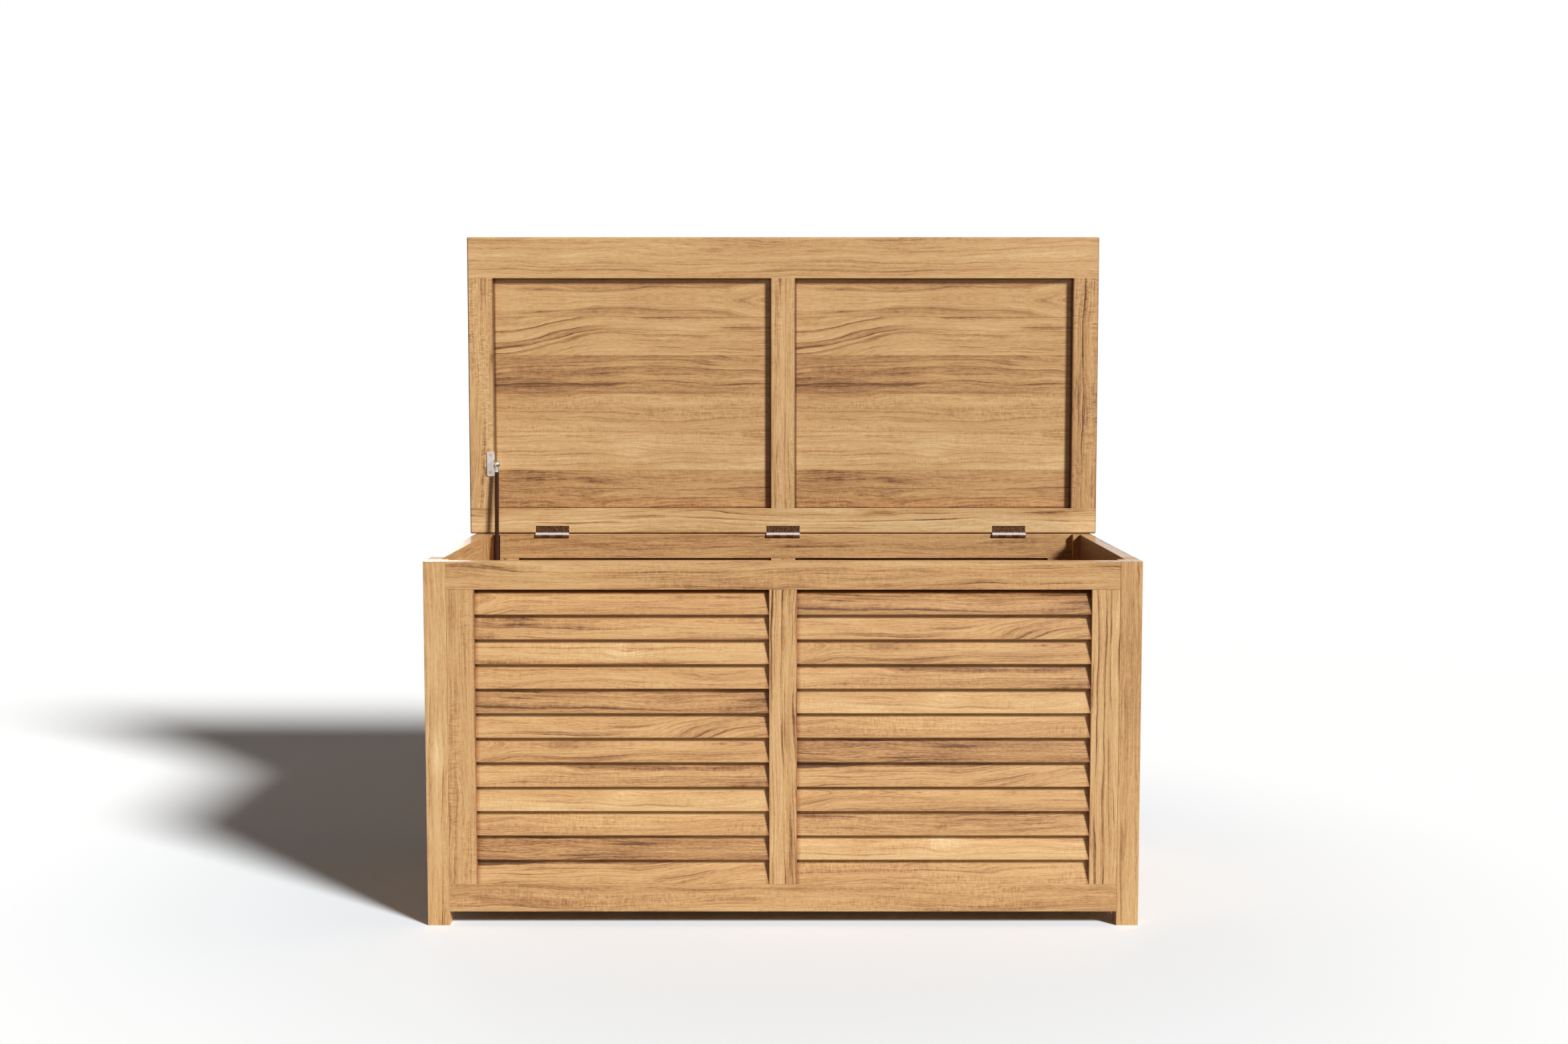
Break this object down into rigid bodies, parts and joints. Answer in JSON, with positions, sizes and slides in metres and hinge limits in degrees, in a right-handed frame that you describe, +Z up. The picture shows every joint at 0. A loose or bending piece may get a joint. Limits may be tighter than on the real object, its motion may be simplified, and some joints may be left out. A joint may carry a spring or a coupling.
{
  "type": "storage bench",
  "caption": "Teak storage bench: a louvred chest on corner posts with a framed lid that stands open on butt hinges, steadied by a telescoping stay at one side.",
  "frame": {"origin": "on the floor, under the middle of the whole bench with its lid open", "axes": "+X to the right along the bench, +Y to the rear, +Z up; the louvred front faces -Y"},
  "size_m": [1.24, 0.584, 1.2118],
  "materials": {
    "teak_frame": "planed teak, light oil",
    "teak_slats": "planed teak, light oil",
    "teak_lid": "planed teak, light oil",
    "teak_floor": "planed teak",
    "hinge_steel": "bronzed, worn bright on the barrel",
    "screw_steel": "bronzed",
    "stay_black": "satin dark brown",
    "stay_plastic": "matte",
    "stay_grey": "satin"
  },
  "bodies": {
    "chest": {"floor_boards": "teak_floor", "front_bottom_rail": "teak_frame", "front_floor_ledger": "teak_floor", "front_left_louvres": "teak_slats", "front_left_post": "teak_frame", "front_left_stile": "teak_frame", "front_mullion": "teak_frame", "front_right_louvres": "teak_slats", "front_right_post": "teak_frame", "front_right_stile": "teak_frame", "front_top_rail": "teak_frame", "hinge_pins": "hinge_steel", "hinge_rail_screws": "screw_steel", "left_hinge_lower_leaf": "hinge_steel", "left_side_bottom_rail": "teak_frame", "left_side_front_stile": "teak_frame", "left_side_louvres": "teak_slats", "left_side_rear_stile": "teak_frame", "left_side_top_rail": "teak_frame", "middle_hinge_lower_leaf": "hinge_steel", "rear_bottom_rail": "teak_frame", "rear_floor_ledger": "teak_floor", "rear_left_louvres": "teak_slats", "rear_left_post": "teak_frame", "rear_left_stile": "teak_frame", "rear_mullion": "teak_frame", "rear_right_louvres": "teak_slats", "rear_right_post": "teak_frame", "rear_right_stile": "teak_frame", "rear_top_rail": "teak_frame", "right_hinge_lower_leaf": "hinge_steel", "right_side_bottom_rail": "teak_frame", "right_side_front_stile": "teak_frame", "right_side_louvres": "teak_slats", "right_side_rear_stile": "teak_frame", "right_side_top_rail": "teak_frame", "stay_wall_ball": "stay_grey", "stay_wall_plate": "stay_grey", "stay_wall_screws": "screw_steel"},
    "lid": {"hinge_lid_screws": "screw_steel", "left_hinge_upper_leaf": "hinge_steel", "lid_front_rail": "teak_lid", "lid_left_boards": "teak_lid", "lid_left_stile": "teak_lid", "lid_mullion": "teak_lid", "lid_rear_rail": "teak_lid", "lid_right_boards": "teak_lid", "lid_right_stile": "teak_lid", "middle_hinge_upper_leaf": "hinge_steel", "right_hinge_upper_leaf": "hinge_steel", "stay_lid_ball": "stay_grey", "stay_lid_plate": "stay_grey", "stay_lid_screws": "screw_steel"},
    "stay_tube_body": {"stay_tube": "stay_black", "stay_gland": "stay_plastic", "stay_lower_socket": "stay_grey"},
    "stay_rod_body": {"stay_rod": "stay_black", "stay_piston": "stay_plastic", "stay_upper_socket": "stay_grey"}
  },
  "joints": [
    {"name": "lid_hinge", "type": "hinge", "parent": "chest", "child": "lid", "pos_m": [0, 0.263, 0.6258], "axis": [1, 0, 0], "range_deg": [0, 90]},
    {"name": "stay_lower_pivot", "type": "hinge", "parent": "chest", "child": "stay_tube_body", "pos_m": [-0.564, 0.233, 0.48762], "axis": [1, 0, 0], "range_deg": [0, 45]},
    {"name": "stay_upper_pivot", "type": "hinge", "parent": "lid", "child": "stay_rod_body", "pos_m": [-0.564, 0.253, 0.76685], "axis": [1, 0, 0], "range_deg": [-45, 0]}
  ],
  "couplings": [
    {"joint": "stay_lower_pivot", "follows": "lid_hinge", "ratio": 0.5},
    {"joint": "stay_upper_pivot", "follows": "lid_hinge", "ratio": -0.5}
  ]
}
